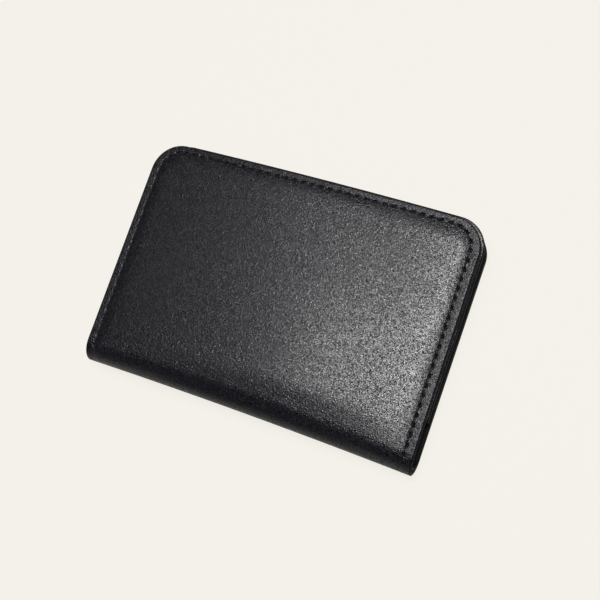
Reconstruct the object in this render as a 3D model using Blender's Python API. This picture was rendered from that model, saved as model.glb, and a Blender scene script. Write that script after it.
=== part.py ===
"""Card wallet in black leather, lying closed on its back cover.

X runs along the spine, Y from the spine to the free edge, Z up. The origin is under the middle of the
wallet. The outer leather, the linings and the pocket panels are sheets that follow one crowned cover.
The wallet opens by two coupled hinge lines at the spine, and its gusseted pocket gapes at the mouth.
"""

import math

import bmesh
import bpy

for leftover in list(bpy.data.objects):
    bpy.data.objects.remove(leftover, do_unlink=True)

# Outside of the closed wallet, in metres.
cover_width = 0.111
wallet_depth = 0.0784
front_setback = 0.0019
corner_radius = 0.0096
crown_height = 0.0021
lid_rise = 0.0036

# The fold's line: drawn in at the middle, and pressed in further at its left end.
waist_depth = 0.0011
left_press = 0.0021

# Leather, lining, board and foam.
cover_leather = 0.0012
lining_leather = 0.0007
pocket_leather = 0.0009
slip_leather = 0.0007
gusset_leather = 0.0006
spine_tape = 0.0003
board = 0.0004
foam = 0.0006
layer_gap = 0.00025

# Sewn border and the raised panel inside it.
board_corner = 0.006
seam_margin = 0.0042
panel_rise = 0.0009
panel_shoulder = 0.005
lining_shoulder = 0.0015
fold_margin = 0.001

# Spine: flat strip past the bend, and the lines that the leather turns about.
spine_flange = 0.0012
hinge_inset = 0.003
hinge_height = 0.0021
spine_lining_setback = 0.0006

# Pockets.
pocket_depth = 0.0064
pocket_lift = 0.001
pocket_setback = 0.005
lid_clearance = 0.0005
gusset_fold = 0.0075
mouth_corner = 0.0025
card_slot_height = 0.034
flap_pocket_height = 0.050
thumb_scoop = 0.004
scoop_width = 0.036

half_width = cover_width / 2
spine_y = -wallet_depth / 2
free_y = wallet_depth / 2
front_free_y = free_y - front_setback
lid_slope = lid_rise / wallet_depth
slant = math.hypot(1, lid_slope)

# Heights that follow from the stack of layers at the pocket's mouth, on the middle line.
board_top = cover_leather + layer_gap + board
back_panel_rise = board + layer_gap
back_margin_top = cover_leather + layer_gap + lining_leather
back_lining_top = back_margin_top + back_panel_rise
lining_dip = foam + board + 2 * layer_gap - panel_rise
front_stack = cover_leather + lining_leather + slip_leather + 2 * layer_gap + lining_dip
lid_at_mouth = back_lining_top + pocket_depth + pocket_leather + lid_clearance + front_stack

# Bend of the spine on the middle line, which sets where the covers begin.
middle_radius = (lid_at_mouth - lid_slope * (spine_flange + pocket_setback)) / (1 + slant)
strip_y = spine_y + waist_depth + left_press / 4 + middle_radius + spine_flange
mouth_y = strip_y + pocket_setback
hinge_y = spine_y + hinge_inset
mean_drop = crown_height / 3
swing = math.hypot(strip_y - hinge_y, hinge_height + mean_drop)
near_y = hinge_y + swing + layer_gap

CORNER_STEPS = 8
CROWN_STEPS = 7
BEND_STEPS = 14
SPINE_STEPS = 18


def smooth_step(t):
    t = min(max(t, 0), 1)
    return t * t * (3 - 2 * t)


def dome(x):
    """1 on the middle line, 0 at the side edges."""
    return max(1 - (x / half_width) ** 2, 0)


def lid(x, y):
    """Outer face of the front cover at its seam."""
    return lid_at_mouth + lid_slope * (y - mouth_y) - crown_height * (1 - dome(x))


def pocket_floor_side(x, y):
    """Inner face of the pocket's front panel."""
    lift = pocket_lift * (y - mouth_y) / (free_y - mouth_y)
    return back_lining_top + pocket_depth + lift - crown_height * (1 - dome(x))


def sewn_distance(x, y, far):
    """Distance in from the three sewn edges of a cover that ends at far."""
    side = abs(x) - (half_width - corner_radius)
    end = y - (far - corner_radius)
    if side > 0 and end > 0:
        return corner_radius - math.hypot(side, end)
    return min(half_width - abs(x), far - y)


def panel_share(x, y, far, shoulder):
    """0 on the sewn border and at the fold, 1 on the panel inside them."""
    inside = min(sewn_distance(x, y, far) - seam_margin, y - near_y - fold_margin)
    return smooth_step(inside / shoulder)


def leather(name, colour, roughness):
    material = bpy.data.materials.new(name)
    material.use_nodes = True
    shader = material.node_tree.nodes["Principled BSDF"]
    shader.inputs["Base Color"].default_value = (*colour, 1)
    shader.inputs["Roughness"].default_value = roughness
    shader.inputs["Metallic"].default_value = 0
    return material


def hinge_frame(name, y, z):
    """Empty on a hinge line, which carries the pieces that turn about it."""
    empty = bpy.data.objects.new(name, None)
    empty.location = (0, y, z)
    bpy.context.collection.objects.link(empty)
    return empty


def place(name, mesh_data, material, frame):
    """Make one object of a mesh in the wallet's frame, carried by a hinge frame or by nothing."""
    normals = bmesh.new()
    mesh = bpy.data.meshes.new(name)
    normals.from_mesh(mesh_data)
    bpy.data.meshes.remove(mesh_data)
    bmesh.ops.recalc_face_normals(normals, faces=normals.faces)
    if frame:
        bmesh.ops.translate(normals, vec=-frame.location, verts=normals.verts)
    normals.to_mesh(mesh)
    normals.free()
    mesh.shade_smooth()
    mesh.set_sharp_from_angle(angle=math.radians(35))
    mesh.materials.append(material)
    piece = bpy.data.objects.new(name, mesh)
    piece.parent = frame
    bpy.context.collection.objects.link(piece)
    return piece


def shell(name, outer, inner, material, frame=None):
    """Closed sheet between two grids of points with the same columns and rows."""
    columns = len(outer)
    rows = len(outer[0])
    points = [p for grid in (outer, inner) for column in grid for p in column]

    def corner(side, i, j):
        return side * columns * rows + i * rows + j

    faces = []
    for i in range(columns - 1):
        for j in range(rows - 1):
            for side in (0, 1):
                ring = [(i, j), (i + 1, j), (i + 1, j + 1), (i, j + 1)]
                if side:
                    ring.reverse()
                faces.append([corner(side, *at) for at in ring])
    border = [(i, 0) for i in range(columns)]
    border += [(columns - 1, j) for j in range(1, rows)]
    border += [(i, rows - 1) for i in range(columns - 2, -1, -1)]
    border += [(0, j) for j in range(rows - 2, 0, -1)]
    for this, following in zip(border, border[1:] + border[:1]):
        faces.append([corner(0, *this), corner(1, *this), corner(1, *following), corner(0, *following)])
    mesh = bpy.data.meshes.new(name + "_grid")
    mesh.from_pydata(points, [], faces)
    return place(name, mesh, material, frame)


def swept(name, sections, material, frame=None):
    """Closed bar through sections that have the same number of points."""
    size = len(sections[0])
    points = [p for section in sections for p in section]
    faces = [list(range(size)), [len(points) - 1 - k for k in range(size)]]
    for i in range(len(sections) - 1):
        for k in range(size):
            following = (k + 1) % size
            a = i * size
            b = a + size
            faces.append([a + k, b + k, b + following, a + following])
    mesh = bpy.data.meshes.new(name + "_bar")
    mesh.from_pydata(points, [], faces)
    return place(name, mesh, material, frame)


def column_places(half, radius, insets):
    """X of the grid's columns: close together on the round corners and on the panel's shoulder."""
    turns = [math.radians(90 * k / CORNER_STEPS) for k in range(CORNER_STEPS + 1)]
    corner = [half - radius * (1 - math.sin(turn)) for turn in turns]
    flat = [(half - radius) * k / CROWN_STEPS for k in range(CROWN_STEPS)]
    places = flat + corner
    for inset in insets:
        if all(abs(half - inset - x) > layer_gap for x in places):
            places.append(half - inset)
    places.sort()
    return [-x for x in reversed(places[1:])] + places


def at_fold(x):
    """Edge of the pieces that begin past the bend."""
    return near_y


def sheet(name, faces, material, frame=None, far=free_y, inset=0, near=at_fold, rows_in=((0,), (0,))):
    """Sheet inside a cover's outline, drawn in by an inset, between its upper and lower faces."""
    half = half_width - inset
    radius = board_corner if inset else corner_radius
    near_insets, far_insets = rows_in
    grids = ([], [])
    for x in column_places(half, radius, far_insets):
        past = max(abs(x) - (half - radius), 0)
        end = far - inset - radius + math.sqrt(max(radius**2 - past**2, 0))
        start = near(x)
        rows = [start + d for d in near_insets] + [end - d for d in reversed(far_insets)]
        for grid, height in zip(grids, faces):
            grid.append([(x, y, height(x, y)) for y in rows])
    return shell(name, grids[0], grids[1], material, frame)


def shoulder_rows(margin, shoulder, steps):
    """Distances from an edge that follow the rise of a panel, and past the round corners."""
    rows = [0] + [margin + shoulder * k / steps for k in range(steps + 1)]
    if margin == seam_margin:
        rows.append(max(corner_radius, rows[-1]) + layer_gap)
    return rows


black_leather = leather("black_leather", (0.013, 0.013, 0.015), 0.42)
lining_black = leather("lining_black", (0.018, 0.018, 0.020), 0.6)
board_grey = leather("board_grey", (0.22, 0.21, 0.20), 0.85)
foam_white = leather("foam_white", (0.62, 0.61, 0.58), 0.95)
tape_white = leather("tape_white", (0.55, 0.54, 0.52), 0.9)

lid_hinge_z = lid(0, hinge_y) - mean_drop - hinge_height
spine_frame = hinge_frame("spine_hinge_line", hinge_y, hinge_height)
front_frame = hinge_frame("cover_hinge_line", hinge_y, lid_hinge_z)
pocket_hinge_y = free_y - seam_margin / 2
pocket_hinge_z = pocket_floor_side(0, pocket_hinge_y) - crown_height / 2
pocket_frame = hinge_frame("pocket_hinge_line", pocket_hinge_y, pocket_hinge_z)


board_inset = seam_margin + lining_shoulder + layer_gap
lining_rows = (shoulder_rows(fold_margin, lining_shoulder, 2), shoulder_rows(seam_margin, lining_shoulder, 2))
panel_rows = (shoulder_rows(fold_margin, panel_shoulder, 3), shoulder_rows(seam_margin, panel_shoulder, 3))


def board_edge(x):
    """Edge of a board beside the fold."""
    return near_y + fold_margin + lining_shoulder + layer_gap


def back_half():
    """Back cover, its board and the lining that is also the floor of the pocket."""

    def lining_face(x, y):
        return back_margin_top + back_panel_rise * panel_share(x, y, free_y, lining_shoulder)

    def lining_back(x, y):
        return lining_face(x, y) - lining_leather

    sheet("back_cover", (lambda x, y: cover_leather, lambda x, y: 0), black_leather)
    board_faces = (lambda x, y: board_top, lambda x, y: board_top - board)
    sheet("back_board", board_faces, board_grey, inset=board_inset, near=board_edge)
    sheet("back_lining", (lining_face, lining_back), lining_black, rows_in=lining_rows)


def gusset_path():
    """Stations along the three closed sides of the pocket: a point and the direction into the pocket."""
    side = half_width - corner_radius
    end = free_y - corner_radius
    stations = [((-half_width, mouth_y + mouth_corner), (1, 0))]
    for k in range(CORNER_STEPS + 1):
        turn = math.radians(90 * k / CORNER_STEPS)
        across, along = math.cos(turn), math.sin(turn)
        at = (-side - corner_radius * across, end + corner_radius * along)
        stations.append((at, (across, -along)))
    count = 2 * CROWN_STEPS
    for k in range(1, count // 2):
        stations.append(((-side + 2 * side * k / count, free_y), (0, -1)))
    mirrored = [((-x, y), (-nx, ny)) for (x, y), (nx, ny) in reversed(stations)]
    return stations + [((0, free_y), (0, -1))] + mirrored


def gusset():
    """One folded strip round three sides, its two borders sewn flat and its fold pushed inward."""
    sections = []
    for (x, y), (nx, ny) in gusset_path():
        low = back_margin_top + layer_gap
        high = pocket_floor_side(x, y) - layer_gap
        middle = (low + high) / 2
        outline = [
            (0, low),
            (seam_margin, low),
            (gusset_fold, middle),
            (seam_margin, high),
            (0, high),
            (0, high - gusset_leather),
            (seam_margin, high - gusset_leather),
            (gusset_fold - 2 * gusset_leather, middle),
            (seam_margin, low + gusset_leather),
            (0, low + gusset_leather),
        ]
        sections.append([(x + nx * inward, y + ny * inward, z) for inward, z in outline])
    swept("gusset", sections, lining_black)


def mouth(y_edge, scoop=0):
    """Edge of a pocket panel: small round corners, and a shallow curve that clears a thumb."""

    def edge(x):
        past = max(abs(x) - (half_width - mouth_corner), 0)
        corner = mouth_corner - math.sqrt(max(mouth_corner**2 - past**2, 0))
        return y_edge + corner + scoop * smooth_step(1 - abs(x) / scoop_width)

    return edge


def pocket_panels():
    """Front panel of the gusseted pocket, and the card slot sewn on it."""

    def panel_face(x, y):
        return pocket_floor_side(x, y) + pocket_leather

    def slot_back(x, y):
        return panel_face(x, y) + layer_gap

    def slot_face(x, y):
        return slot_back(x, y) + slip_leather

    sewn_rows = ((0,), (0, seam_margin))
    panel_faces = (panel_face, pocket_floor_side)
    sheet("pocket_front", panel_faces, black_leather, pocket_frame, near=mouth(mouth_y), rows_in=sewn_rows)
    slot_mouth = mouth(free_y - card_slot_height, thumb_scoop / 2)
    slot_faces = (slot_face, slot_back)
    sheet("card_slot", slot_faces, black_leather, pocket_frame, near=slot_mouth, rows_in=sewn_rows)


def fold_line(x):
    """Y of the fold's outermost line."""
    return spine_y + waist_depth * dome(x) + left_press * ((half_width - x) / cover_width) ** 2


def fold_radius(x):
    """Outer radius of the bend, which touches the table's plane and the lid's plane."""
    return lid(x, fold_line(x)) / (1 + slant - lid_slope)


def bend_section(x, depth, setback):
    """Points of the bend at one depth inside the leather, from the back cover round to the front."""
    radius = fold_radius(x)
    centre_y = fold_line(x) + radius
    tilt = math.atan(lid_slope)
    end_y = strip_y - setback
    points = [(x, end_y, depth)]
    for k in range(BEND_STEPS + 1):
        turn = math.radians(270) - (math.pi - tilt) * k / BEND_STEPS
        y = centre_y + (radius - depth) * math.cos(turn)
        z = radius + (radius - depth) * math.sin(turn)
        points.append((x, y, z))
    points.append((x, end_y, lid(x, end_y) - depth * slant))
    return points


def spine():
    """Bent strip between the covers: outer leather, bonded tape and lining."""
    places = [half_width * (2 * k / SPINE_STEPS - 1) for k in range(SPINE_STEPS + 1)]
    tape_face = cover_leather + layer_gap
    lining_face = tape_face + spine_tape + layer_gap
    layers = (
        ("spine_cover", 0, cover_leather, 0, black_leather),
        ("spine_tape", tape_face, spine_tape, spine_lining_setback, tape_white),
        ("spine_lining", lining_face, lining_leather, spine_lining_setback, lining_black),
    )
    for name, depth, thickness, setback, material in layers:
        outer = [bend_section(x, depth, setback) for x in places]
        inner = [bend_section(x, depth + thickness, setback) for x in places]
        shell(name, outer, inner, material, spine_frame)


def front_half():
    """Front cover with its foam, board and lining, and the slip pocket inside it."""

    def cover_face(x, y):
        return lid(x, y) + panel_rise * panel_share(x, y, front_free_y, panel_shoulder)

    def cover_underside(x, y):
        return cover_face(x, y) - cover_leather

    def lining_back(x, y):
        dip = lining_dip * panel_share(x, y, front_free_y, lining_shoulder)
        return lid(x, y) - cover_leather - layer_gap - dip

    def lining_face(x, y):
        return lining_back(x, y) - lining_leather

    def board_underside(x, y):
        return lid(x, y) - cover_leather - lining_dip

    def board_face(x, y):
        return board_underside(x, y) + board

    def foam_face(x, y):
        return cover_underside(x, y) - layer_gap

    def foam_underside(x, y):
        return board_face(x, y) + layer_gap

    def slip_back(x, y):
        return lining_face(x, y) - layer_gap

    def slip_face(x, y):
        return slip_back(x, y) - slip_leather

    half_shoulder = panel_shoulder / 2
    foam_row = (0, half_shoulder / 2, half_shoulder)
    slip_mouth = mouth(free_y - flap_pocket_height, thumb_scoop)
    slip_rows = ((0, seam_margin), lining_rows[1])
    layers = (
        ("front_cover", (cover_face, cover_underside), black_leather, 0, at_fold, panel_rows),
        (
            "front_foam",
            (foam_face, foam_underside),
            foam_white,
            seam_margin + half_shoulder,
            lambda x: near_y + fold_margin + half_shoulder,
            (foam_row, foam_row),
        ),
        ("front_board", (board_face, board_underside), board_grey, board_inset, board_edge, ((0,), (0,))),
        ("front_lining", (lining_back, lining_face), lining_black, 0, at_fold, lining_rows),
        ("flap_pocket", (slip_back, slip_face), black_leather, 0, slip_mouth, slip_rows),
    )
    for name, faces, material, inset, near, rows_in in layers:
        sheet(name, faces, material, front_frame, front_free_y, inset, near, rows_in)


back_half()
gusset()
pocket_panels()
spine()
front_half()
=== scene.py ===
"""Black card wallet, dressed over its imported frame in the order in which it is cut, laid and sewn.

Each leather part is cut flat as a grid of points, with rings that follow its cut edges, and then laid on
the wallet: on the back cover, round the spine, on the front cover or on the pocket. All lengths are metres.
"""

import math

import bmesh
import bpy
import numpy as np
from mathutils import Matrix, Vector


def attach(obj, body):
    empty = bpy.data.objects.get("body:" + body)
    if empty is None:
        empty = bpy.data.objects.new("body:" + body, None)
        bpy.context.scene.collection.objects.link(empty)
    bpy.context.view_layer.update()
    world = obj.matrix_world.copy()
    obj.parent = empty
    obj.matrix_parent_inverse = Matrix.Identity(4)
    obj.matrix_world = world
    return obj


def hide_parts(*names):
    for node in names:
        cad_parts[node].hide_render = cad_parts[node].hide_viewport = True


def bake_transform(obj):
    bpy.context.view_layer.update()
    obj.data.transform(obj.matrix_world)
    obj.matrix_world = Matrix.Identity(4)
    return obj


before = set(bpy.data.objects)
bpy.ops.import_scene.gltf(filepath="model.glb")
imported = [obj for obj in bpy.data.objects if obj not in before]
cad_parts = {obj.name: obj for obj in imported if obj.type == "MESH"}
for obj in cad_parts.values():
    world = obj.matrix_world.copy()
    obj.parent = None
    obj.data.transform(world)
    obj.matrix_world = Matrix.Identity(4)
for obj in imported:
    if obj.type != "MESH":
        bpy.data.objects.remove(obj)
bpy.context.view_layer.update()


# Outer leather, back half: one cut of black pebbled cowhide wraps the whole wallet. This half runs from the
# back's free edge, flat on the table, round the lower half of the fold. Its cut edges are rounded and painted
# black, and a shallow step is pressed round the sewn border.
half_width = 0.0555
free_y = 0.0392
spine_y = -0.0392
front_free_y = 0.0373
corner_radius = 0.0096
crown_height = 0.0021
lid_rise = 0.0036
lid_slope = lid_rise / 0.0784
lid_at_mouth = 0.0143
mouth_y = -0.024371
waist_depth = 0.0011
left_press = 0.0021
cover_leather = 0.0012
grid_step = 0.001
tilt = math.atan(lid_slope)
slant = math.hypot(1, lid_slope)

BEAD_STEPS = 4
BEND_STEPS = 22
BEND_TURNS = [90 * k / BEND_STEPS for k in range(BEND_STEPS)] + [87.6, 88.8, 89.5, 90]
edge_bead = 0.00042
sewn_rings = (0.0009, 0.0016, 0.0023, 0.0030, 0.0037, 0.0046, 0.0058, 0.0072, 0.0084, corner_radius)


def dome(x):
    """1 in the middle of the wallet's width, 0 at its sides."""
    return np.maximum(1 - (x / half_width) ** 2, 0)


def lid(x, y):
    """Outer face of the front cover at its seam."""
    return lid_at_mouth + lid_slope * (y - mouth_y) - crown_height * (1 - dome(x))


def fold_line(x):
    """Y of the fold's outermost line."""
    return spine_y + waist_depth * dome(x) + left_press * ((half_width - x) / (2 * half_width)) ** 2


def fold_radius(x):
    """Radius at which the leather's outer face goes round the fold, between the back and the lid."""
    return lid(x, fold_line(x)) / (1 + slant - lid_slope)


def lay_back(u, v, depth):
    """Place on the back cover, and round the lower half of the fold, at a depth below the outer face."""
    radius = fold_radius(u)
    centre = fold_line(u) + radius
    turn = np.maximum(centre - v, 0) / radius
    y = np.maximum(v, centre) - (radius - depth) * np.sin(turn)
    z = radius - (radius - depth) * np.cos(turn)
    return np.stack([u, y, z], -1)


def lay_front(u, v, depth):
    """Place on the front cover, and round the upper half of the fold, at a depth below the outer face."""
    radius = fold_radius(u)
    centre = fold_line(u) + radius
    tangent = centre - radius * math.sin(tilt)
    turn = tilt + np.maximum(tangent - v, 0) * slant / radius
    bent_y = centre - (radius - depth) * np.sin(turn)
    bent_z = radius + (radius - depth) * np.cos(turn)
    y = np.where(v < tangent, bent_y, v + depth * math.sin(tilt))
    z = np.where(v < tangent, bent_z, lid(u, v) - depth * math.cos(tilt))
    return np.stack([u, y, z], -1)


def back_start(x):
    """V of the rows from the middle of the fold down to the flat of the back cover."""
    radius = fold_radius(x)
    centre = fold_line(x) + radius
    return [centre - radius * math.radians(turn) for turn in reversed(BEND_TURNS)]


def front_start(x):
    """V of the rows from the middle of the fold up to the flat of the front cover."""
    radius = fold_radius(x)
    tangent = fold_line(x) + radius * (1 - math.sin(tilt))
    quarter = radius * (math.pi / 2 - tilt) / slant
    return [tangent - quarter * turn / 90 for turn in reversed(BEND_TURNS)]


def bead_rings(bead, further):
    """Distances in from a cut edge: the rounded edge's rings, then those on the flat of the leather."""
    turns = [math.radians(90 * k / BEAD_STEPS) for k in range(BEAD_STEPS + 1)]
    return [bead * (1 - math.cos(turn)) for turn in turns] + list(further)


def round_corner(k_side, k_end, last, rings):
    """Offset from a corner's centre of a point on rings that follow the round corner."""
    k = min(k_side, k_end)
    if k == last:
        return 0, 0
    legs = 2 * (last - k)
    share = (last - k_end) / legs if k_side == k else 1 - (last - k_side) / legs
    turn = share * math.pi / 2
    reach = rings[last] - rings[k]
    return reach * math.cos(turn), reach * math.sin(turn)


def flat_cut(half, far, rings, start_rows, mouth_rings=0, step=grid_step):
    """Grid of one flat cut: u, v and the share of the thickness at which the point of its outer half lies.

    Rings are distances in from the cut edges. start_rows gives the first v's at an x, and mouth_rings
    says how many of them follow a cut edge and not a fold.
    """
    last = len(rings) - 1
    inner_half = half - rings[last]
    count = round(2 * inner_half / step)
    columns = [(-half + d, k, -1) for k, d in enumerate(rings)]
    columns += [(-inner_half + 2 * inner_half * k / count, last, 0) for k in range(1, count)]
    columns += [(half - rings[k], k, 1) for k in reversed(range(last + 1))]
    sewn_end = far - rings[last]
    count = max(round((sewn_end - start_rows(0.0)[-1]) / step), 1)
    turn = math.pi / 2 / BEAD_STEPS
    share = [(1 - math.sin(k * turn)) / 2 if k < BEAD_STEPS else 0 for k in range(last + 1)]
    mouth_last = mouth_rings - 1
    grid = []
    for x, k_side, side in columns:
        start = start_rows(x)
        rows = [(v, j if j < mouth_rings else last, "start") for j, v in enumerate(start)]
        rows += [(start[-1] + (sewn_end - start[-1]) * k / count, last, "") for k in range(1, count + 1)]
        rows += [(far - rings[k], k, "far") for k in reversed(range(last))]
        column = []
        for v, k_end, place in rows:
            u = x
            if side and place == "far":
                across, along = round_corner(k_side, k_end, last, rings)
                u, v = side * (inner_half + across), sewn_end + along
            if side and place == "start" and k_end <= mouth_last and k_side <= mouth_last:
                across, along = round_corner(k_side, k_end, mouth_last, rings)
                u, v = side * (half - rings[mouth_last] + across), start[mouth_last] - along
            column.append((u, v, share[min(k_side, k_end)]))
        grid.append(column)
    return grid


def seam_path(half, far, inset_side, inset_end, start_v):
    """Line of a seam round three sides of a cut, from the right side's start round to the left one's."""
    centre_x, centre_y = half - corner_radius, far - corner_radius
    reach_x, reach_y = corner_radius - inset_side, corner_radius - inset_end
    turns = np.radians(np.linspace(0, 90, 60))
    right = np.stack([centre_x + reach_x * np.cos(turns), centre_y + reach_y * np.sin(turns)], -1)
    left = right[::-1] * (-1, 1)
    side = half - inset_side
    return np.vstack([[(side, start_v)], right, left, [(-side, start_v)]])


def walk(path, distances):
    """Points of a path at distances along it."""
    lengths = np.concatenate([[0], np.cumsum(np.hypot(*np.diff(path, axis=0).T))])
    return np.stack([np.interp(distances, lengths, path[:, k]) for k in (0, 1)], -1)


def path_length(path):
    return np.hypot(*np.diff(path, axis=0).T).sum()


def sewn_distance(u, v, far):
    """Distance in from the three sewn edges."""
    side = np.abs(u) - (half_width - corner_radius)
    end = v - (far - corner_radius)
    corner = corner_radius - np.hypot(side, end)
    return np.where((side > 0) & (end > 0), corner, np.minimum(half_width - np.abs(u), far - v))


def smooth(t):
    """From 0 to 1 with soft ends, and level beyond them."""
    t = np.clip(t, 0, 1)
    return t * t * (3 - 2 * t)


def from_path(u, v, path):
    """Distance from a line through points."""
    best = np.full(np.shape(u), 1.0)
    for (x0, y0), (x1, y1) in zip(path[:-1], path[1:]):
        dx, dy = x1 - x0, y1 - y0
        t = np.clip(((u - x0) * dx + (v - y0) * dy) / (dx * dx + dy * dy), 0, 1)
        best = np.minimum(best, np.hypot(u - x0 - t * dx, v - y0 - t * dy))
    return best


slit_size = (0.00055, 0.00021)
slit_depth = 0.00045
slit_lean = math.radians(12)
dimple_size = (0.0009, 0.0006)
dimple_depth = 0.00005
groove_width = 0.0004
groove_depth = 0.00007


def hollow(along, across, size):
    """1 in the middle of a long soft mark, 0 outside it."""
    return np.exp(-((along / size[0]) ** 2) - (across / size[1]) ** 2)


def pricked(u, v, holes):
    """Depth of the slits that the needle leaves, each leaning a little, and of the dimple round each."""
    mark = np.zeros(np.shape(u))
    ahead = np.gradient(holes, axis=0)
    for (x, y), (dx, dy) in zip(holes, ahead):
        angle = math.atan2(dy, dx) + slit_lean
        along = (u - x) * math.cos(angle) + (v - y) * math.sin(angle)
        across = -(u - x) * math.sin(angle) + (v - y) * math.cos(angle)
        slit = slit_depth * hollow(along, across, slit_size)
        mark = np.maximum(mark, slit + dimple_depth * hollow(along, across, dimple_size))
    return mark


def groove(u, v, path):
    """1 along a line pressed into the leather, 0 away from it."""
    return np.exp(-((from_path(u, v, path) / groove_width) ** 2))


def sewn_relief(u, v, holes):
    """Depth of the seam's groove and its needle marks."""
    return groove_depth * groove(u, v, holes) + pricked(u, v, holes)


def level_face(depth):
    """A face that lies at one depth all over."""
    return lambda u, v: np.full(np.shape(u), depth)


def add_piece(mesh, cut_mm, finishes, crisp=True):
    """Put a mesh in the scene, with each point's place on the flat cut for its finish to read."""
    cut = mesh.attributes.new("cut_mm", "FLOAT_VECTOR", "POINT")
    cut.data.foreach_set("vector", np.asarray(cut_mm, float).ravel())
    for finish in finishes:
        mesh.materials.append(finish)
    mesh.shade_smooth()
    if crisp:
        mesh.set_sharp_from_angle(angle=math.radians(50))
    mesh.update()
    piece = bpy.data.objects.new(mesh.name, mesh)
    bpy.context.scene.collection.objects.link(piece)
    return piece


SEAM_CUTS = 6
seam_reach = 0.00125


def leather_piece(name, grid, lay, outer, inner, finishes, seam=None, seam_share=0):
    """Closed sheet of leather: cut flat, made finer along its seam, and laid on the wallet.

    outer and inner give the depths of its two faces. Its second finish goes on the cut edges.
    """
    columns, rows = len(grid), len(grid[0])
    points = [p for column in grid for p in column]
    points += [(u, v, 1 - share) for u, v, share in points]
    count = columns * rows
    faces = []
    for i in range(columns - 1):
        for j in range(rows - 1):
            a = i * rows + j
            ring = [a, a + rows, a + rows + 1, a + 1]
            faces.append(ring)
            faces.append([k + count for k in reversed(ring)])
    starts_on_fold = grid[columns // 2][0][2] == 0
    if starts_on_fold:
        for i in range(columns - 1):
            a, b = i * rows, (i + 1) * rows
            faces.append([a, a + count, b + count, b])
    mesh = bpy.data.meshes.new(name)
    mesh.from_pydata(points, [], faces)
    body = bmesh.new()
    body.from_mesh(mesh)
    bmesh.ops.remove_doubles(body, verts=body.verts, dist=1e-7)
    loose = [face for face in body.faces if face.calc_area() < 1e-14]
    bmesh.ops.delete(body, geom=loose, context="FACES_ONLY")
    bmesh.ops.recalc_face_normals(body, faces=body.faces)
    if seam is not None:
        flat = [f for f in body.faces if all(abs(p.co.z - seam_share) < 1e-6 for p in f.verts)]
        centres = np.array([f.calc_center_median() for f in flat])
        close = from_path(centres[:, 0], centres[:, 1], seam) < seam_reach
        edges = {edge for face, near in zip(flat, close) if near for edge in face.edges}
        edges = sorted(edges, key=lambda e: e.index)
        bmesh.ops.subdivide_edges(body, edges=edges, cuts=SEAM_CUTS, use_grid_fill=True)
    body.to_mesh(mesh)
    body.free()
    u, v, share = np.array([p.co for p in mesh.vertices]).T
    depth = outer(u, v) * (1 - share) + inner(u, v) * share
    on_edge = [any(0.001 < share[k] < 0.999 for k in face.vertices) for face in mesh.polygons]
    mesh.vertices.foreach_set("co", lay(u, v, depth).ravel())
    mesh.polygons.foreach_set("material_index", [int(edge) for edge in on_edge])
    outer_on_top = lay(0.0, 0.0, 0.0)[2] > lay(0.0, 0.0, cover_leather)[2]
    if outer_on_top:
        mesh.flip_normals()  # laid this way up, the flat cut would be inside out
    return add_piece(mesh, np.stack([u, v, depth], -1) * 1000, finishes)


class Wire:
    """Output of a shader node. Python's operators on it add Math nodes."""

    def __init__(self, nodes, socket):
        self.nodes = nodes
        self.socket = socket

    def math(self, operation, *values):
        return self.nodes.node("ShaderNodeMath", {"operation": operation}, dict(enumerate(values)))

    def __add__(self, other):
        return self.math("ADD", self, other)

    def __sub__(self, other):
        return self.math("SUBTRACT", self, other)

    def __rsub__(self, other):
        return self.math("SUBTRACT", other, self)

    def __mul__(self, other):
        return self.math("MULTIPLY", self, other)

    __radd__ = __add__
    __rmul__ = __mul__

    def between(self, low, high):
        """0 below low, 1 above high, smooth in between."""
        settings = {"interpolation_type": "SMOOTHSTEP"}
        return self.nodes.node("ShaderNodeMapRange", settings, {0: self, 1: low, 2: high})


class Nodes:
    """A node tree whose nodes are all made by one method."""

    def __init__(self, tree):
        self.tree = tree

    def feed(self, socket, value):
        if isinstance(value, Wire):
            self.tree.links.new(value.socket, socket)
        else:
            socket.default_value = value

    def node(self, kind, settings, values, output=0):
        made = self.tree.nodes.new(kind)
        for name, value in settings.items():
            setattr(made, name, value)
        for socket, value in values.items():
            self.feed(made.inputs[socket], value)
        return Wire(self, made.outputs[output])


class Finish(Nodes):
    """A material whose constants sit on the shader's own sockets."""

    def __init__(self, name, **constants):
        self.material = bpy.data.materials.new(name)
        self.material.use_nodes = True
        super().__init__(self.material.node_tree)
        self.shader = self.tree.nodes["Principled BSDF"]
        for socket, value in constants.items():
            self.feed(self.shader.inputs[socket.replace("_", " ")], value)

    def place(self):
        """Place on the flat cut, in millimetres."""
        return self.node("ShaderNodeAttribute", {"attribute_name": "cut_mm"}, {}, "Vector")

    def noise(self, scale, detail=2.0, place=None):
        values = {"Vector": place or self.place(), "Scale": scale, "Detail": detail}
        return self.node("ShaderNodeTexNoise", {}, values)

    def cells(self, scale, feature="F1", **values):
        values = {"Vector": self.place(), "Scale": scale, **values}
        return self.node("ShaderNodeTexVoronoi", {"feature": feature}, values)

    def along(self, axis, vector):
        return self.node("ShaderNodeSeparateXYZ", {}, {0: vector}, axis)

    def blend(self, share, first, second):
        values = {0: share, 6: (*first, 1), 7: (*second, 1)}
        return self.node("ShaderNodeMix", {"data_type": "RGBA"}, values, 2)

    def relief(self, height_mm):
        values = {"Strength": 1.0, "Distance": 0.001, "Height": height_mm}
        self.feed(self.shader.inputs["Normal"], self.node("ShaderNodeBump", {}, values))

    def colour(self, wire):
        self.feed(self.shader.inputs["Base Color"], wire)

    def coat(self, wire):
        self.feed(self.shader.inputs["Coat Weight"], wire)

    def roughness(self, wire):
        self.feed(self.shader.inputs["Roughness"], wire)


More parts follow.
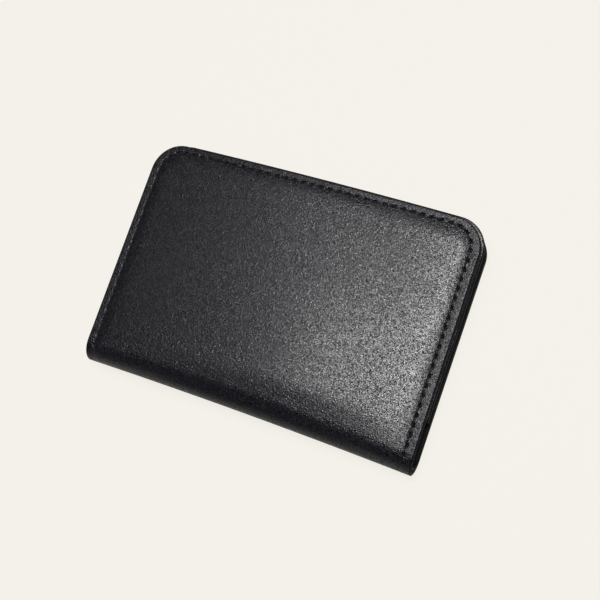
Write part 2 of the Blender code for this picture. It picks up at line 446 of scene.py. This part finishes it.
pebbles_per_mm = 3.0
pebble_depth_mm = 0.01
pebble_lean_mm = 0.16
wave_depth_mm = 0.05
rough_spread = 0.3
full_coat = 0.9
pressed_coat = 0.2


def pebbled_leather(name, dark, light, rough, grain):
    """Cowhide with a fine pressed pebble: each top has its own gloss and colour, and leans its own way.

    The finish is duller where the panel is pressed down, at its border and round the fold. The tops are
    lighter and the narrow valleys between them darker: partly the leather's own tone, and partly painted
    shade in the valleys.
    """
    finish = Finish(name, Specular_IOR_Level=0.31, Coat_Roughness=0.22)
    pebble_size = {"Vector": finish.place(), "Scale": pebbles_per_mm}
    chance = finish.node("ShaderNodeTexVoronoi", {}, pebble_size, "Color")
    shine, wear = finish.along("X", chance), finish.along("Z", chance)
    pebbles = finish.cells(pebbles_per_mm, "DISTANCE_TO_EDGE").between(0.0, 0.15)
    leaning = finish.noise(2.3, 0.0) * (pebble_lean_mm * grain)
    waves = finish.noise(0.22, 2.0) * wave_depth_mm
    tops = pebbles * shine.between(0.0, 1.0)
    pressed = finish.along("Z", finish.place()).between(-0.5, -0.1)
    sunk = pebbles * (pebble_depth_mm * grain) + leaning + waves
    finish.relief(sunk * -1)
    # Colour: each top gets its own random tone, and the valleys between the tops get the dark colour. That
    # dark colour is partly painted shade.
    finish.colour(finish.blend(tops, dark, light))
    finish.coat(tops * (full_coat - pressed * (full_coat - pressed_coat)))
    finish.roughness(wear * (2 * rough_spread * grain) + (rough - rough_spread * grain) + (1 - pebbles) * 0.1)
    return finish.material


def edge_paint(name):
    """Black paint laid on the cut edge in two coats, smooth with slow unevenness."""
    finish = Finish(name, Specular_IOR_Level=0.12)
    swell = finish.noise(0.9, 2.0)
    fibres = finish.noise(5.0, 2.0)
    finish.relief(swell * -0.05 + fibres * -0.006)
    finish.colour(finish.blend(swell, (0.002, 0.002, 0.0026), (0.0045, 0.0045, 0.0055)))
    finish.roughness(fibres * 0.12 + 0.42)
    return finish.material


outer_leather = pebbled_leather(
    "black_pebbled_leather",
    dark=(0.0016, 0.0015, 0.0028),
    light=(0.0168, 0.0160, 0.0235),
    rough=0.25,
    grain=1.0,
)
edge_black = edge_paint("black_edge_paint")

seam_side = 0.002855
seam_end = 0.002243
stitch_pitch = 0.003
seam_start_v = -0.034442
margin_press = 0.00045
margin_width = 0.0030
margin_slope = 0.0032
flat_start = -0.036
flat_fade = 0.006


def even_holes(path):
    """Needle marks spread evenly over a seam, as near the stitch's pitch as they come."""
    length = path_length(path)
    return walk(path, np.linspace(0, length, round(length / stitch_pitch) + 1))


def on_flat(v):
    """0 round the fold, 1 on the flat of a cover."""
    return smooth((v - flat_start) / flat_fade)


def back_outer(u, v):
    """Depth of the back's outer face: the sewn border is pressed up, and the seam lies in a groove."""
    border = 1 - smooth((sewn_distance(u, v, free_y) - margin_width) / margin_slope)
    return margin_press * border * on_flat(v) + sewn_relief(u, v, back_holes)


back_path = seam_path(half_width, free_y, seam_side, seam_end, seam_start_v)
back_holes = even_holes(back_path)
back_grid = flat_cut(half_width, free_y, bead_rings(edge_bead, sewn_rings), back_start)
back_inner = level_face(cover_leather)
back_leather = leather_piece(
    "back_leather", back_grid, lay_back, back_outer, back_inner, (outer_leather, edge_black), back_path
)
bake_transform(back_leather)
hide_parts("back_cover")


# Outer leather, front half: the same cut, from the middle of the fold over the top. Thin foam and a board
# under it raise the middle, and the row of stitches round three sides pulls its border down.
panel_rise = 0.0006
panel_inset = 0.0025
panel_round = 0.0048
side_roundness = 2.2
top_softness = 0.6
top_reach = 0.012
top_fade = 0.008
border_lean = -0.00014
shoulder_top = -0.0235
shoulder_bow = 0.0072
shoulder_width = 0.0105
dip_depth = 0.00036
dip_start = -0.0255
dip_start_fade = 0.0065
dip_end = -0.0378
dip_end_fade = 0.0045
inner_rise = 1.13
side_stitches = 21
corner_stitches = 3
top_first_x = 0.04747
crease_start_v = -0.048
side_end = stitch_pitch * side_stitches
front_path = seam_path(half_width, front_free_y, seam_side, seam_end, seam_start_v)
dense = np.linspace(0, path_length(front_path), 6000)
dense_points = walk(front_path, dense)
top_first = dense[np.argmax((dense > side_end) & (dense_points[:, 0] < top_first_x))]
front_holes = walk(
    front_path,
    np.concatenate(
        [
            np.arange(side_stitches) * stitch_pitch,
            side_end + (top_first - side_end) * np.arange(corner_stitches) / corner_stitches,
            np.arange(top_first, path_length(front_path) - 0.001, stitch_pitch),
        ]
    ),
)
crease_x = half_width - seam_side
front_creases = [np.array([(side * crease_x, v) for v in (crease_start_v, seam_start_v)]) for side in (-1, 1)]


def front_rise(u, v):
    """Height of the padded panel over the sewn border, less the dip where the leather starts to bend."""
    inside = np.clip((sewn_distance(u, v, front_free_y) - panel_inset) / panel_round, 0, 1)
    at_top = smooth((v - front_free_y + top_reach) / top_fade)
    pillow = 1 - (1 - inside) ** (side_roundness - top_softness * at_top)
    sideways = np.abs(u) / half_width
    shoulder = shoulder_top - shoulder_bow * sideways**1.6
    down = np.clip((shoulder - v) / shoulder_width, 0, 1)
    fade = smooth((dip_start - v) / dip_start_fade) * smooth((v - dip_end) / dip_end_fade)
    dip = dip_depth * fade * (1 - sideways**1.3)
    return panel_rise * pillow * (1 - down**2) * smooth((1.15 - down) / 0.3) - dip


def front_outer(u, v):
    """Depth of the front's outer face. Outside the seam the border leans up to its cut edge."""
    crease = sum(groove(u, v, path) for path in front_creases)
    outside = np.clip(1 - sewn_distance(u, v, front_free_y) / seam_side, 0, 1)
    lean = border_lean * outside * on_flat(v)
    return sewn_relief(u, v, front_holes) + groove_depth * crease + lean - front_rise(u, v)


def front_inner(u, v):
    return cover_leather - inner_rise * np.maximum(front_rise(u, v), 0)


front_grid = flat_cut(half_width, front_free_y, bead_rings(edge_bead, sewn_rings), front_start)
front_leather = leather_piece(
    "front_leather", front_grid, lay_front, front_outer, front_inner, (outer_leather, edge_black), front_path
)
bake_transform(front_leather)
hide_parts("front_cover", "spine_cover")


# Stitches of the outer leather: black polyester thread in a lockstitch, eight or nine to the inch. Each comes
# up through one needle mark, leans a little across the seam and goes down through the next.
thread_radius = 0.00016
thread_lean = 0.00012
thread_lift = 0.0001
thread_dive = 0.0005
hole_share = 0.02
THREAD_RINGS = 9
THREAD_SIDES = 8


def closed_mesh(name, points, faces):
    """Mesh of points and faces, with every face turned outward."""
    mesh = bpy.data.meshes.new(name)
    mesh.from_pydata(points, [], faces)
    body = bmesh.new()
    body.from_mesh(mesh)
    bmesh.ops.recalc_face_normals(body, faces=body.faces)
    body.to_mesh(mesh)
    body.free()
    return mesh


def stitch_thread(name, rows, lay, level, up, finish):
    """Rows of stitches over a face: level gives the face's depth, and up is -1 outward or 1 inward."""
    points, faces, cut = [], [], []
    steps = np.linspace(0, 1, THREAD_RINGS)
    around = [2 * math.pi * k / THREAD_SIDES for k in range(THREAD_SIDES)]
    run = 0.0
    for start, end in [pair for holes in rows for pair in zip(holes[:-1], holes[1:])]:
        ahead = end - start
        length = math.hypot(*ahead)
        ahead = ahead / length
        across = np.array([-ahead[1], ahead[0]])
        base = len(points)
        for t in steps:
            lean = thread_lean * (1 - 2 * t)
            at = start + ahead * length * (hole_share + (1 - 2 * hole_share) * t) + across * lean
            ends = (2 * abs(t - 0.5)) ** 4
            depth = level(at[0], at[1]) - up * (thread_lift + thread_dive * ends)
            for turn in around:
                side = thread_radius * math.cos(turn)
                points.append((*(at + across * side), depth + up * thread_radius * math.sin(turn)))
                cut.append((1000 * (run + length * t), turn, 0))
        for k in range(THREAD_RINGS - 1):
            for m in range(THREAD_SIDES):
                a, b = base + k * THREAD_SIDES, base + (k + 1) * THREAD_SIDES
                n = (m + 1) % THREAD_SIDES
                faces.append([a + m, a + n, b + n, b + m])
        faces.append([base + m for m in reversed(range(THREAD_SIDES))])
        last = base + (THREAD_RINGS - 1) * THREAD_SIDES
        faces.append([last + m for m in range(THREAD_SIDES)])
        run += length
    u, v, depth = np.array(points).T
    return add_piece(closed_mesh(name, lay(u, v, depth).tolist(), faces), cut, [finish], crisp=False)


def twisted_thread(name):
    """Three-ply polyester: slanted ridges round the thread, with a dull sheen."""
    finish = Finish(name, Specular_IOR_Level=0.5)
    fuzz = finish.noise(9.0, 2.0)
    wave = {"Vector": finish.place(), "Scale": 1.0, "Distortion": 0.4}
    plies = finish.node("ShaderNodeTexWave", {"bands_direction": "DIAGONAL"}, wave, 1)
    finish.relief(plies * 0.05 + fuzz * 0.02)
    finish.colour(finish.blend(fuzz, (0.004, 0.004, 0.005), (0.009, 0.009, 0.011)))
    finish.roughness(fuzz * 0.1 + 0.36)
    return finish.material


black_thread = twisted_thread("black_thread")


def front_seam_level(u, v):
    return groove_depth - float(front_rise(u, v))


def back_seam_level(u, v):
    return margin_press + groove_depth


front_seam = stitch_thread("front_seam", [front_holes], lay_front, front_seam_level, -1, black_thread)
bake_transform(front_seam)
back_seam = stitch_thread("back_seam", [back_holes], lay_back, back_seam_level, -1, black_thread)
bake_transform(back_seam)


# Linings: thin matt black leather, one cut for each half, glued over the board, pressed down round the sewn
# border and carried round the inside of the fold over a bonded tape.
tape_thickness = 0.0003
press_gap = 0.00004
lining_face = 0.00215
lining_edge = 0.00030
lining_step = 0.0016
lining_rings = (0.0009, 0.0017, 0.0025, 0.0034, 0.0044, 0.0050, 0.0060, 0.0076, corner_radius)
back_board_rise = 0.00065
front_board_rise = 0.0006
board_play = 0.0002
board_inset = 0.0042
board_start = -0.0277
board_slope = 0.0016
bend_end = -0.0305
bend_slope = 0.0025


def in_bend(v):
    """1 round the fold, where the tape lies under the lining."""
    return 1 - smooth((v - bend_end) / bend_slope)


def board_share(u, v, far):
    """1 over the board, 0 on the sewn border and beside the fold."""
    from_seam = smooth((sewn_distance(u, v, far) - board_inset) / board_slope)
    return from_seam * smooth((v - board_start) / board_slope)


def lining_outer(far, rise):
    """Depth of the lining's glued face, with a board that rises by so much."""

    def depth(u, v):
        low = cover_leather + press_gap + (tape_thickness + press_gap) * in_bend(v)
        return low + (rise + board_play) * board_share(u, v, far)

    return depth


def lining_inner(far, rise, holes):
    """Depth of the lining's open face, with the inner side of the seam."""

    def depth(u, v):
        face = lining_face + board_play * in_bend(v) + rise * board_share(u, v, far)
        return face - sewn_relief(u, v, holes)

    return depth


def lining_leather(name):
    """Split leather with a matt sprayed finish and a fine pressed weave of creases."""
    finish = Finish(name, Sheen_Weight=0.02, Specular_IOR_Level=0.12)
    cells = finish.cells(4.5, "F1", Randomness=0.9)
    creases = finish.noise(1.6, 4.0)
    finish.relief(cells * -0.03 + creases * 0.04)
    finish.colour(finish.blend(creases, (0.0045, 0.0045, 0.0055), (0.010, 0.010, 0.012)))
    finish.roughness(cells * 0.1 + 0.5)
    return finish.material


matt_lining = lining_leather("matt_black_lining")
lining_bead = bead_rings(lining_edge, lining_rings)
back_lining = leather_piece(
    "back_lining_sheet",
    flat_cut(half_width, free_y, lining_bead, back_start, step=lining_step),
    lay_back,
    lining_outer(free_y, back_board_rise),
    lining_inner(free_y, back_board_rise, back_holes),
    (matt_lining, edge_black),
)
back_inside_bend = {"start": (0, -0.028, 0.0022), "end": (0, -0.0346, 0.0058)}
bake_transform(back_lining)
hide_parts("back_lining")
front_lining = leather_piece(
    "front_lining_sheet",
    flat_cut(half_width, front_free_y, lining_bead, front_start, step=lining_step),
    lay_front,
    lining_outer(front_free_y, front_board_rise),
    lining_inner(front_free_y, front_board_rise, front_holes),
    (matt_lining, edge_black),
)
front_inside_bend = {"start": (0, -0.0346, 0.0072), "end": (0, -0.028, 0.0115)}
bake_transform(front_lining)
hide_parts("front_lining", "spine_lining")


# Spine tape: thin off-white bonded tape between the leather and the lining, glued round the fold so that it
# keeps its curve. It stops short of the side edges.
tape_inset = 0.0012
tape_end = -0.0297
tape_edge = 0.0001
tape_step = 0.003
tape_depth = cover_leather + press_gap / 2


def woven_tape(name):
    """Plain weave of off-white yarns, dull with its glue."""
    finish = Finish(name)
    yarns = {"Vector": finish.place(), "Scale": 1.2}
    warp, weft = (finish.node("ShaderNodeTexWave", {"bands_direction": way}, yarns, 1) for way in "XY")
    weave = warp * weft
    finish.relief(weave * 0.04)
    finish.colour(finish.blend(weave, (0.42, 0.41, 0.39), (0.60, 0.59, 0.56)))
    finish.roughness(weft * 0.1 + 0.8)
    return finish.material


tape_cloth = woven_tape("bonded_tape")
tape_rings = bead_rings(tape_edge, (0.001,))
for name, lay, start_rows, bodies, bend in (
    ("spine_tape_lower", lay_back, back_start, ("back", "spine"), back_inside_bend),
    ("spine_tape_upper", lay_front, front_start, ("spine", "front"), front_inside_bend),
):
    tape = leather_piece(
        name,
        flat_cut(half_width - tape_inset, tape_end, tape_rings, start_rows, step=tape_step),
        lay,
        level_face(tape_depth),
        level_face(tape_depth + tape_thickness),
        (tape_cloth, tape_cloth),
    )
    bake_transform(tape)
    if name == "spine_tape_upper":
        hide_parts("spine_tape")


# Boards and foam: grey bonded-leather fibre board under each lining, and thin white foam on the front's.
# They are glued in between the leather and the lining, and keep the solids of the frame.
def pressed_fibre(name, dark, light, scale, rough):
    """Board or foam of short fibres, speckled and dull all through."""
    finish = Finish(name)
    place = finish.node("ShaderNodeTexCoord", {}, {}, "Object")
    fibres = finish.noise(scale, 4.0, place)
    finish.relief(fibres * 0.08)
    finish.colour(finish.blend(fibres, dark, light))
    finish.roughness(fibres * 0.1 + rough)
    return finish.material


fibre_board = pressed_fibre("grey_fibre_board", (0.15, 0.14, 0.13), (0.30, 0.29, 0.27), 1400, 0.8)
foam_sheet = pressed_fibre("white_foam", (0.52, 0.51, 0.48), (0.70, 0.69, 0.66), 2500, 0.85)
for node, finish, slot in (
    ("back_board", fibre_board, "fibre_board"),
    ("front_board", fibre_board, "fibre_board"),
    ("front_foam", foam_sheet, "foam_sheet"),
):
    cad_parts[node].material_slots[0].material = finish


# Pocket: a panel of the same leather over a gusset. Its mouth faces the spine, with small round corners, a
# painted edge and a line creased beside it with a hot iron.
pocket_leather = 0.0009
pocket_depth = 0.0064
pocket_lift = 0.001
back_lining_top = 0.0028
mouth_corner = 0.0025
crease_inset = 0.0016
pocket_edge = 0.00034
pocket_rings = (0.0009, 0.0014, crease_inset, 0.0018, mouth_corner, 0.0034, 0.0045, 0.0060, 0.0078)
pocket_bead = bead_rings(pocket_edge, (*pocket_rings, corner_radius))
mouth_rings = BEAD_STEPS + 6
crease_depth = 0.00012
crease_width = 0.0002
thumb_width = 0.036
pocket_seam_inset = 0.0024
seam_to_mouth = 0.0022
cover_start = 0.0006
cover_fade = 0.0008


def pocket_floor_side(x, y):
    """Inner face of the pocket's front panel."""
    lift = pocket_lift * (y - mouth_y) / (free_y - mouth_y)
    return back_lining_top + pocket_depth + lift - crown_height * (1 - dome(x))


def lay_pocket(u, v, depth):
    """Place on the pocket's panel, at a depth below its outer face."""
    return np.stack([u, v, pocket_floor_side(u, v) + pocket_leather - depth], -1)


def mouth(edge_v, scoop=0.0):
    """V of a pocket's mouth at an x: straight, or with a shallow curve that clears a thumb."""
    return lambda x: edge_v + scoop * smooth(1 - np.abs(x) / thumb_width)


def pocket_cut(far, line):
    """Flat cut of a pocket's panel, from its mouth's line to its sewn edge."""

    def start(x):
        return [float(line(x)) + ring for ring in pocket_bead[:mouth_rings]]

    return flat_cut(half_width, far, pocket_bead, start, mouth_rings, lining_step)


def creased(u, v, line):
    """Depth of the line ironed in beside a mouth."""
    return crease_depth * np.exp(-(((v - line(u) - crease_inset) / crease_width) ** 2))


pocket_path = seam_path(half_width, free_y, pocket_seam_inset, pocket_seam_inset, mouth_y + seam_to_mouth)
pocket_holes = even_holes(pocket_path)
pocket_mouth = mouth(mouth_y)
slot_mouth = mouth(free_y - 0.034, 0.002)
inner_leather = pebbled_leather(
    "black_inner_leather", dark=(0.006, 0.006, 0.0075), light=(0.026, 0.026, 0.029), rough=0.38, grain=0.6
)


def panel_outer(u, v):
    """Depth of the panel's outer face, plain where the card slot covers it."""
    covered = smooth((v - slot_mouth(u) - cover_start) / cover_fade)
    return (sewn_relief(u, v, pocket_holes) + creased(u, v, pocket_mouth)) * (1 - covered)


pocket_panel = leather_piece(
    "pocket_panel",
    pocket_cut(free_y, pocket_mouth),
    lay_pocket,
    panel_outer,
    level_face(pocket_leather),
    (inner_leather, edge_black),
    pocket_path,
)
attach(pocket_panel, "pocket")
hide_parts("pocket_front")


# Card slot: a second, lower panel of the same leather on the pocket's front. It is held by the same seam on
# three sides, and its mouth has a shallow curve for the thumb.
slot_leather = 0.0007
slot_gap = 0.00003
step_start = 0.0002
step_length = 0.0006


def slot_outer(u, v):
    return -slot_gap - slot_leather + sewn_relief(u, v, pocket_holes) + creased(u, v, slot_mouth)


slot_panel = leather_piece(
    "card_slot_panel",
    pocket_cut(free_y, slot_mouth),
    lay_pocket,
    slot_outer,
    level_face(-slot_gap),
    (inner_leather, edge_black),
    pocket_path,
)
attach(slot_panel, "pocket")
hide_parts("card_slot")


def past_mouth(u, v, line):
    """0 before a mouth, 1 on its panel, where a seam steps up on to it."""
    return float(smooth((v - float(line(u)) + step_start) / step_length))


def pocket_seam_level(u, v):
    return groove_depth - (slot_gap + slot_leather) * past_mouth(u, v, slot_mouth)


pocket_seam = stitch_thread("pocket_seam", [pocket_holes], lay_pocket, pocket_seam_level, -1, black_thread)
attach(pocket_seam, "pocket")


# Gusset: one strip of thin leather, folded inward along its middle like a bellows, runs round the pocket's
# three closed sides. Its borders are sewn between the back and the pocket's panel.
gusset_leather = 0.0006
gusset_fold = 0.0075
gusset_border_rings = (0.0, 0.0020, 0.0034)
gusset_softness = 1.6
gusset_to_mouth = 0.0012
gusset_ring_mm = 0.45
GUSSET_STEPS = 10
GUSSET_STATIONS = 190


def gusset_line(low, high):
    """Middle line of the folded strip from its lower border to its upper one: (inward, z)."""
    half_leather = gusset_leather / 2
    low, high = low + half_leather, high - half_leather
    middle = (low + high) / 2
    reach = gusset_fold - half_leather
    soft = [90 * k / GUSSET_STEPS for k in range(1, GUSSET_STEPS)]
    border = gusset_border_rings[-1]
    lower = [(inward, low) for inward in gusset_border_rings]
    for turn in soft:
        inward = border + (reach - border) * math.sin(math.radians(turn))
        lower.append((inward, low + (middle - low) * (turn / 90) ** gusset_softness))
    upper = [(d, low + high - z) for d, z in reversed(lower)]
    return lower + [(reach, middle)] + upper


def gusset_strip():
    """The strip's folded section, carried round the three closed sides."""
    path = seam_path(half_width, free_y, 0.0, 0.0, mouth_y + gusset_to_mouth)
    length = path_length(path)
    stations = walk(path, np.linspace(0, length, GUSSET_STATIONS))
    ahead = np.gradient(stations, axis=0)
    ahead /= np.hypot(*ahead.T)[:, None]
    points, faces, cut = [], [], []
    for index, ((x, y), (dx, dy)) in enumerate(zip(stations, ahead)):
        high = float(pocket_floor_side(x, y)) - press_gap
        line = np.array(gusset_line(lining_face + press_gap, high))
        run = np.gradient(line, axis=0)
        run /= np.hypot(*run.T)[:, None]
        out = np.stack([-run[:, 1], run[:, 0]], -1) * gusset_leather / 2
        outline = np.vstack([line + out, (line - out)[::-1]])
        for k, (inward, z) in enumerate(outline):
            points.append((x - dy * inward, y + dx * inward, z))
            cut.append((1000 * length * index / (GUSSET_STATIONS - 1), gusset_ring_mm * k, 0))
    size = len(points) // len(stations)
    for i in range(len(stations) - 1):
        for k in range(size):
            a, b, n = i * size, (i + 1) * size, (k + 1) % size
            faces.append([a + k, b + k, b + n, a + n])
    faces.append(list(range(size)))
    faces.append([len(points) - 1 - k for k in range(size)])
    return add_piece(closed_mesh("gusset_strip", points, faces), cut, [matt_lining])


gusset = gusset_strip()
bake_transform(gusset)
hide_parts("gusset")


# Slip pocket: a thin panel of the inner leather over the front cover's lining, held by the front's seam. Its
# mouth faces the spine, with a deeper curve for the thumb.
slip_leather = 0.0007
slip_gap = 0.00003
slip_mouth = mouth(free_y - 0.050, 0.004)


def slip_outer(u, v):
    return lining_face + slip_gap + front_board_rise * board_share(u, v, front_free_y)


def slip_inner(u, v):
    return slip_outer(u, v) + slip_leather - sewn_relief(u, v, front_holes) - creased(u, v, slip_mouth)


slip_panel = leather_piece(
    "slip_pocket_panel",
    pocket_cut(front_free_y, slip_mouth),
    lay_front,
    slip_outer,
    slip_inner,
    (inner_leather, edge_black),
    front_path,
    seam_share=1,
)
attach(slip_panel, "front")
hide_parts("flap_pocket")


# Inside of the seams: the bobbin thread of the same lockstitch, on the linings and on the slip pocket. On the
# back's lining it shows only beside the fold, where the pocket doesn't cover it.
def front_inside_level(u, v):
    return lining_face - groove_depth + (slip_leather + slip_gap) * past_mouth(u, v, slip_mouth)


def back_inside_level(u, v):
    return lining_face - groove_depth


inside_seam = stitch_thread(
    "front_inside_seam", [front_holes], lay_front, front_inside_level, 1, black_thread
)
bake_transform(inside_seam)
bare = back_holes[back_holes[:, 1] < mouth_y]
bare_rows = [bare[bare[:, 0] > 0], bare[bare[:, 0] < 0]]
inside_seam = stitch_thread("back_inside_seam", bare_rows, lay_back, back_inside_level, 1, black_thread)
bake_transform(inside_seam)


# Photo table: a plain pale board just under the wallet. It shows its own pale colour to the camera, and
# keeps the wallet's shadow.
table_reach = 3.0
table_drop = 0.0001


def shows_pale(nodes, seen_share, mirrored_share):
    """Share of a ray that meets the pale background: nearly all of the camera's, and a little mirrored."""
    rays = (f"Is {kind} Ray" for kind in ("Camera", "Glossy", "Transmission"))
    seen, glossy, through = (nodes.node("ShaderNodeLightPath", {}, {}, ray) for ray in rays)
    return seen * seen_share + (glossy + through) * mirrored_share


table_mesh = bpy.data.meshes.new("table_top")
corners = [(x * table_reach, y * table_reach, 0) for x, y in ((-1, -1), (1, -1), (1, 1), (-1, 1))]
table_mesh.from_pydata(corners, [], [(0, 1, 2, 3)])
table = bpy.data.objects.new("table_top", table_mesh)
table.location.z = -table_drop
bpy.context.scene.collection.objects.link(table)
table_paper = Finish("pale_table", Base_Color=(0.42, 0.42, 0.41, 1), Roughness=0.9)
own_colour = table_paper.node("ShaderNodeEmission", {}, {"Color": (0.989, 0.960, 0.894, 1), "Strength": 1.0})
lit = Wire(table_paper, table_paper.shader.outputs[0])
both = {0: shows_pale(table_paper, seen_share=0.85, mirrored_share=0.08), 1: lit, 2: own_colour}
shown = table_paper.node("ShaderNodeMixShader", {}, both)
table_paper.feed(table_paper.tree.nodes["Material Output"].inputs["Surface"], shown)
table.data.materials.append(table_paper.material)


# Lights: four soft boxes at arm's length, in a dim room whose pale walls only the camera sees in full. The
# right one draws the broad highlight, and the overhead one the glow along the middle.
light_distance = 0.9


def aimed(place, side, up, back):
    """Matrix of a lamp or camera at a place, which looks against its back."""
    return Matrix.Translation(place) @ Matrix((side, up, back)).transposed().to_4x4()


def soft_box(name, toward, size, power):
    """Rectangular light in a direction from the wallet, with the first of its sides along the fold."""
    light = bpy.data.lights.new(name, "AREA")
    light.shape = "RECTANGLE"
    light.size, light.size_y = size
    light.energy = power
    lamp = bpy.data.objects.new(name, light)
    back = Vector(toward).normalized()
    side = (Vector((1, 0, 0)) - back * back.x).normalized()
    lamp.matrix_world = aimed(back * light_distance, side, back.cross(side), back)
    bpy.context.scene.collection.objects.link(lamp)


soft_box("overhead_light", toward=(-0.1, 0.035, 0.994), size=(0.28, 0.1), power=1.7)
soft_box("right_light", toward=(0.1, 0.16, 0.98), size=(0.28, 0.35), power=4.85)
soft_box("edge_light", toward=(0.33, 0.02, 0.94), size=(0.17, 0.26), power=1.3)
soft_box("left_light", toward=(-0.25, 0.3, 0.92), size=(0.19, 0.37), power=0.45)

world = bpy.data.worlds.new("dim_room")
bpy.context.scene.world = world
world.use_nodes = True
room = Nodes(world.node_tree)
dim = room.node("ShaderNodeBackground", {}, {"Color": (1, 1, 1, 1), "Strength": 0.04})
wall = room.node("ShaderNodeBackground", {}, {"Color": (0.904, 0.879, 0.823, 1), "Strength": 1.0})
both = {0: shows_pale(room, seen_share=1.0, mirrored_share=0.04), 1: dim, 2: wall}
room.feed(room.tree.nodes["World Output"].inputs["Surface"], room.node("ShaderNodeMixShader", {}, both))


# Camera: the photograph's view, from a third of a metre above the table, to the right and on the fold's side.
# Its place and lens come from a fit to the seam's marks and the outline.
camera_data = bpy.data.cameras.new("photo_camera")
camera_data.lens = 66
camera_data.sensor_width = 36
camera_data.clip_start = 0.01
camera = bpy.data.objects.new("photo_camera", camera_data)
camera.matrix_world = aimed(
    place=(0.113569, -0.059425, 0.324658),
    side=(0.908751, 0.337781, -0.245103),
    up=(-0.271185, 0.924347, 0.268406),
    back=(0.317223, -0.177445, 0.931602),
)
bpy.context.scene.collection.objects.link(camera)
bpy.context.scene.camera = camera
bpy.context.scene.view_settings.view_transform = "Standard"
